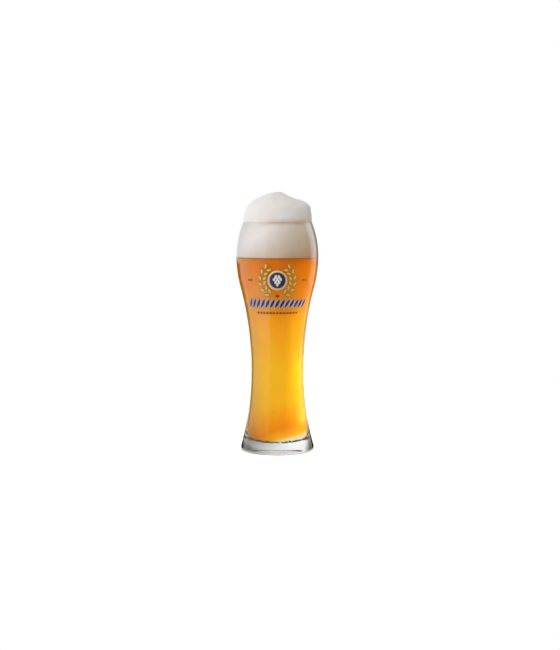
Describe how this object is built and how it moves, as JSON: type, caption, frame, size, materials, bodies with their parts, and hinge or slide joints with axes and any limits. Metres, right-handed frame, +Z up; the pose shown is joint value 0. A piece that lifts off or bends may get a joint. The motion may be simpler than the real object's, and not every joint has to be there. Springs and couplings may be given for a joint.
{
  "type": "wheat beer glass",
  "caption": "Tall waisted drinking glass with a thick round foot, filled with hazy wheat beer under a high head of foam, with an enamel hop and wheat print.",
  "frame": {"origin": "on the table, under the axis of the glass, in the plane of its standing ring", "axes": "+Z up along the axis of the glass, -Y towards the printed front"},
  "size_m": [0.084, 0.084, 0.2654],
  "materials": {
    "clear_glass": "polished, clear",
    "wheat_beer": "hazy amber liquid",
    "foam": "fine matte foam",
    "gold_enamel": "fired enamel with a metallic lustre",
    "blue_enamel": "fired enamel, glossy",
    "white_enamel": "fired enamel, glossy",
    "red_enamel": "fired enamel, glossy",
    "dark_enamel": "fired enamel, glossy"
  },
  "bodies": {
    "root": {"glass": "clear_glass", "beer": "wheat_beer", "foam_head": "foam", "print_gold": "gold_enamel", "print_blue": "blue_enamel", "print_white": "white_enamel", "print_red": "red_enamel", "print_black": "dark_enamel"}
  },
  "joints": []
}
